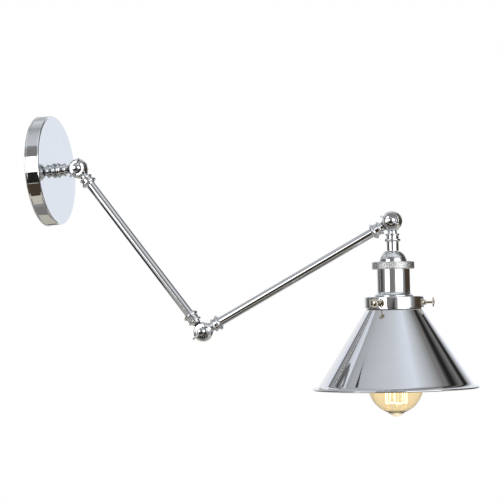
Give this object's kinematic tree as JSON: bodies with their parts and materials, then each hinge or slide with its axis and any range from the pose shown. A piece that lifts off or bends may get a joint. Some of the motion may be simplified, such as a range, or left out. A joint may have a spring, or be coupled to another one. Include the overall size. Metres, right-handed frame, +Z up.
{
  "type": "swing arm wall lamp",
  "caption": "Chrome wall lamp: round canopy, two tube arms on ball knuckles with wing screws, lamp holder with a knurled ring, flared cone shade and an amber filament bulb.",
  "frame": {"origin": "centre of the canopy's back, on the wall plane, midway between the strap's slots", "axes": "+X out of the wall along the stem, +Z up, knuckle axes along Y, wing screws on the -Y side"},
  "size_m": [0.4759, 0.1808, 0.3624],
  "materials": {
    "polished_chrome": "mirror chrome plate",
    "shade_chrome": "spun chrome plate",
    "knurled_chrome": "knurled, satin",
    "zinc_steel": "zinc plate",
    "brass": "bright drawn brass",
    "nickelled_brass": "nickel plate",
    "fibre": "red fibre",
    "porcelain": "glazed",
    "black_glass": "fused",
    "amber_glass": "tinted, clear",
    "clear_glass": "clear",
    "filament_wire": "bare wire"
  },
  "bodies": {
    "wall_plate": {"canopy": "polished_chrome", "wall_strap": "zinc_steel", "stem_nipple": "zinc_steel", "strap_nut": "zinc_steel", "canopy_washer": "zinc_steel", "canopy_nut": "zinc_steel"},
    "stem": {"wall_knuckle_fixed_half": "polished_chrome", "wall_knuckle_friction_washer": "fibre"},
    "lower_arm": {"wall_knuckle_moving_half": "polished_chrome", "wall_knuckle_wing_washer": "polished_chrome", "lower_arm_tube": "polished_chrome", "elbow_fixed_half": "polished_chrome", "elbow_friction_washer": "fibre"},
    "upper_arm": {"elbow_moving_half": "polished_chrome", "elbow_wing_washer": "polished_chrome", "upper_arm_tube": "polished_chrome", "head_knuckle_fixed_half": "polished_chrome", "head_knuckle_friction_washer": "fibre"},
    "head": {"head_knuckle_moving_half": "polished_chrome", "head_knuckle_wing_washer": "polished_chrome", "head_stem": "polished_chrome", "dome_cap": "polished_chrome", "cap_nut": "zinc_steel", "knurled_ring": "knurled_chrome", "socket_shell": "polished_chrome", "socket_insulator": "porcelain", "terminal_screws": "brass", "screw_shell": "brass", "centre_contact": "brass", "gallery": "polished_chrome", "gallery_nut": "zinc_steel", "shade": "shade_chrome", "bulb_glass": "amber_glass", "bulb_contact": "brass", "bulb_collar": "black_glass", "bulb_cap": "nickelled_brass", "glass_stem": "clear_glass", "filament": "filament_wire", "filament_supports": "filament_wire"},
    "wall_wing": {"wall_knuckle_wing_screw": "polished_chrome"},
    "elbow_wing": {"elbow_wing_screw": "polished_chrome"},
    "head_wing": {"head_knuckle_wing_screw": "polished_chrome"},
    "thumb_1": {"thumb_screw_1": "nickelled_brass"},
    "thumb_2": {"thumb_screw_2": "nickelled_brass"},
    "thumb_3": {"thumb_screw_3": "nickelled_brass"}
  },
  "joints": [
    {"name": "stem_turn", "type": "hinge", "parent": "wall_plate", "child": "stem", "pos_m": [0.016, 0, 0], "axis": [1, 0, 0], "range_deg": [-170, 170]},
    {"name": "lower_arm_swing", "type": "hinge", "parent": "stem", "child": "lower_arm", "pos_m": [0.04125, 0, 0], "axis": [0, -1, 0], "range_deg": [-34.5, 145.5]},
    {"name": "elbow_swing", "type": "hinge", "parent": "lower_arm", "child": "upper_arm", "pos_m": [0.17436, 0, -0.19367], "axis": [0, 1, 0], "range_deg": [-40.9, 156.1]},
    {"name": "head_swing", "type": "hinge", "parent": "upper_arm", "child": "head", "pos_m": [0.3944, 0, -0.08824], "axis": [0, -1, 0], "range_deg": [-3.6, 240.4]},
    {"name": "wall_wing_turn", "type": "hinge", "parent": "stem", "child": "wall_wing", "pos_m": [0.04125, 0, 0], "axis": [0, -1, 0], "continuous": true},
    {"name": "elbow_wing_turn", "type": "hinge", "parent": "lower_arm", "child": "elbow_wing", "pos_m": [0.17436, 0, -0.19367], "axis": [0, -1, 0], "continuous": true},
    {"name": "head_wing_turn", "type": "hinge", "parent": "upper_arm", "child": "head_wing", "pos_m": [0.3944, 0, -0.08824], "axis": [0, -1, 0], "continuous": true},
    {"name": "thumb_screw_1_turn", "type": "hinge", "parent": "head", "child": "thumb_1", "pos_m": [0.39008, 0, -0.17674], "axis": [0.9865, 0.1564, -0.0482], "continuous": true},
    {"name": "thumb_screw_2_turn", "type": "hinge", "parent": "head", "child": "thumb_2", "pos_m": [0.39008, 0, -0.17674], "axis": [-0.6286, 0.7771, 0.0307], "continuous": true},
    {"name": "thumb_screw_3_turn", "type": "hinge", "parent": "head", "child": "thumb_3", "pos_m": [0.39008, 0, -0.17674], "axis": [-0.3579, -0.9336, 0.0175], "continuous": true}
  ]
}
